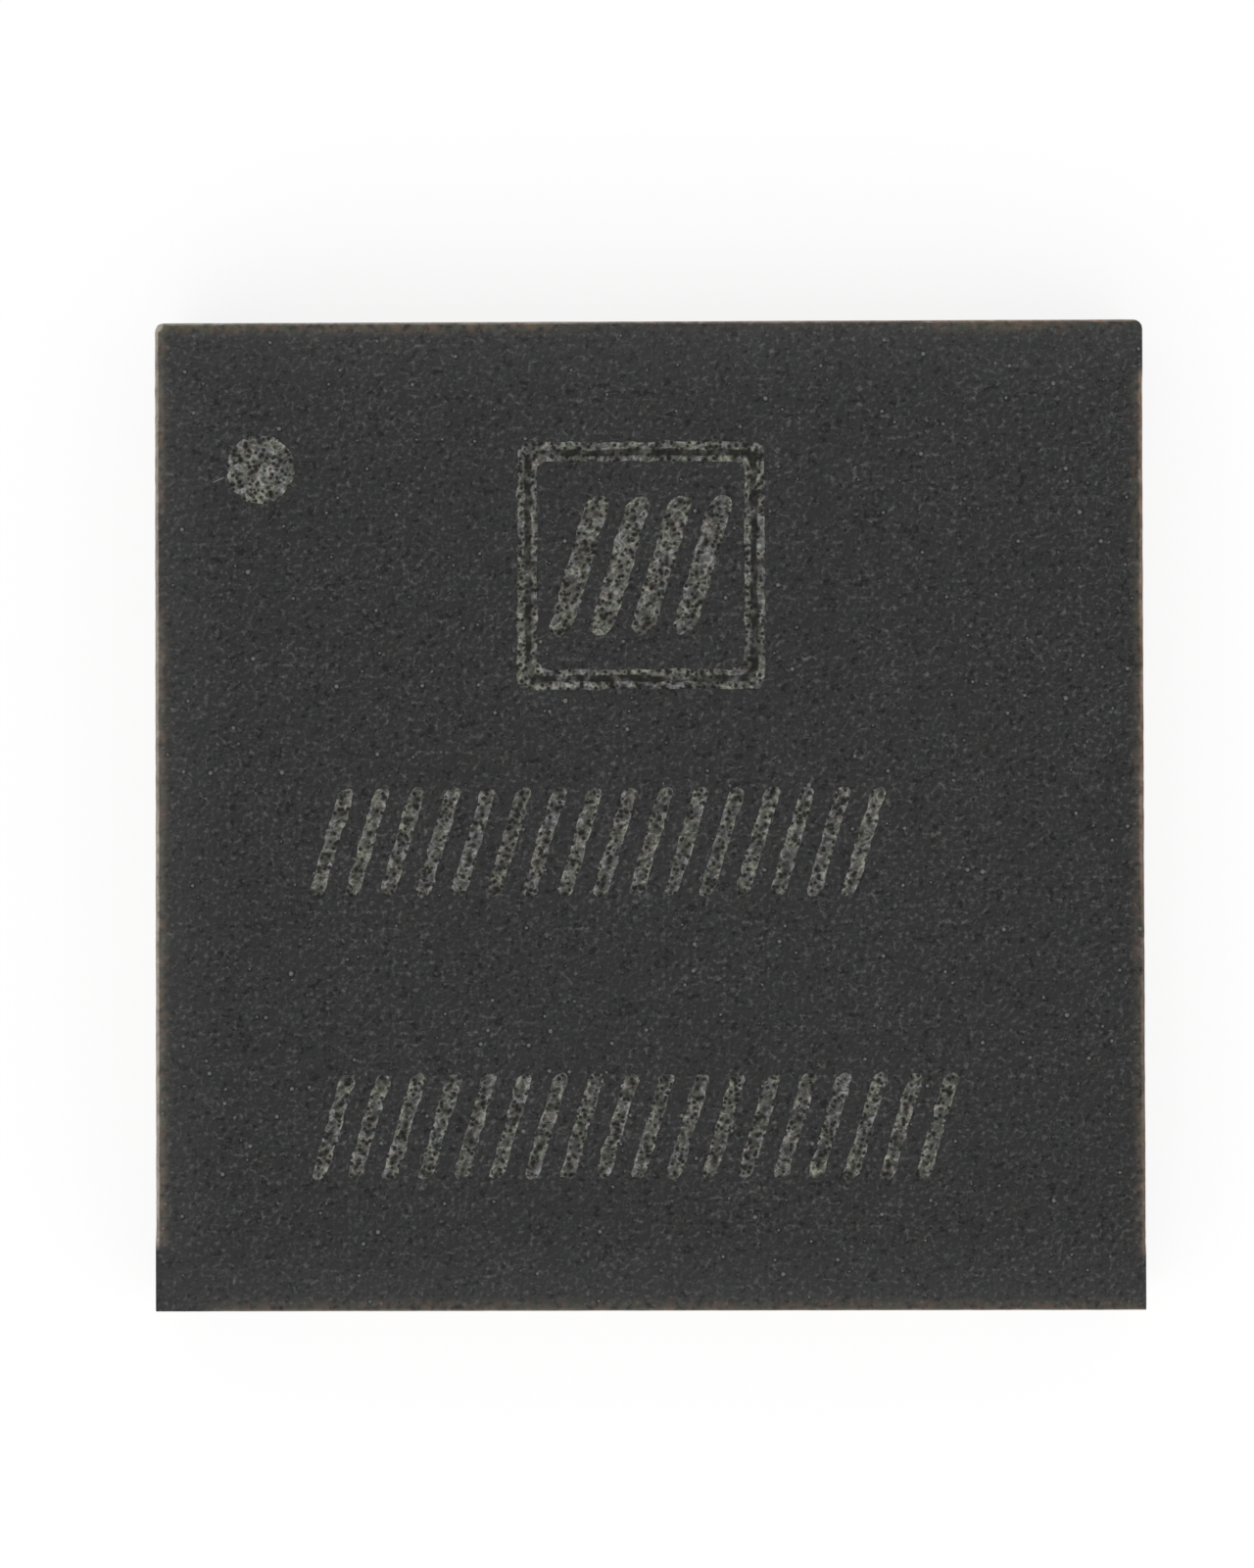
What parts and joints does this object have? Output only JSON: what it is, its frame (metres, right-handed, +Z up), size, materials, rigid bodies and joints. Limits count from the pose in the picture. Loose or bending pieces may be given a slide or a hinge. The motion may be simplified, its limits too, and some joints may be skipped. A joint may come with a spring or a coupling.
{
  "type": "power management chip",
  "caption": "Flat square leadless chip package in black moulding compound, with a pin 1 dot on top and tin plated leads and a thermal pad underneath.",
  "frame": {"origin": "middle of the underside, in the plane of the thermal pad and the lead feet", "axes": "+Z up through the marked top face; +X to the right and +Y away, as the marked face is read, so that pin 1 is at -X +Y and the pins run anticlockwise"},
  "size_m": [0.006, 0.006, 0.0009],
  "materials": {
    "moulding_compound": "charcoal epoxy compound with fine pale flecks, matt",
    "plated_copper": "matt tin plating on copper, with bare copper on the sawn ends",
    "silver_epoxy": "silver filled, dull",
    "silicon": "polished and diced"
  },
  "bodies": {
    "root": {"mould_body": "moulding_compound", "die_paddle": "plated_copper", "die_attach": "silver_epoxy", "silicon_die": "silicon", "lead_01": "plated_copper", "lead_02": "plated_copper", "lead_03": "plated_copper", "lead_04": "plated_copper", "lead_05": "plated_copper", "lead_06": "plated_copper", "lead_07": "plated_copper", "lead_08": "plated_copper", "lead_09": "plated_copper", "lead_10": "plated_copper", "lead_11": "plated_copper", "lead_12": "plated_copper", "lead_13": "plated_copper", "lead_14": "plated_copper", "lead_15": "plated_copper", "lead_16": "plated_copper", "lead_17": "plated_copper", "lead_18": "plated_copper", "lead_19": "plated_copper", "lead_20": "plated_copper", "lead_21": "plated_copper", "lead_22": "plated_copper", "lead_23": "plated_copper", "lead_24": "plated_copper", "lead_25": "plated_copper", "lead_26": "plated_copper", "lead_27": "plated_copper", "lead_28": "plated_copper", "lead_29": "plated_copper", "lead_30": "plated_copper", "lead_31": "plated_copper", "lead_32": "plated_copper", "lead_33": "plated_copper", "lead_34": "plated_copper", "lead_35": "plated_copper", "lead_36": "plated_copper", "lead_37": "plated_copper", "lead_38": "plated_copper", "lead_39": "plated_copper", "lead_40": "plated_copper", "lead_41": "plated_copper", "lead_42": "plated_copper", "lead_43": "plated_copper", "lead_44": "plated_copper"}
  },
  "joints": []
}
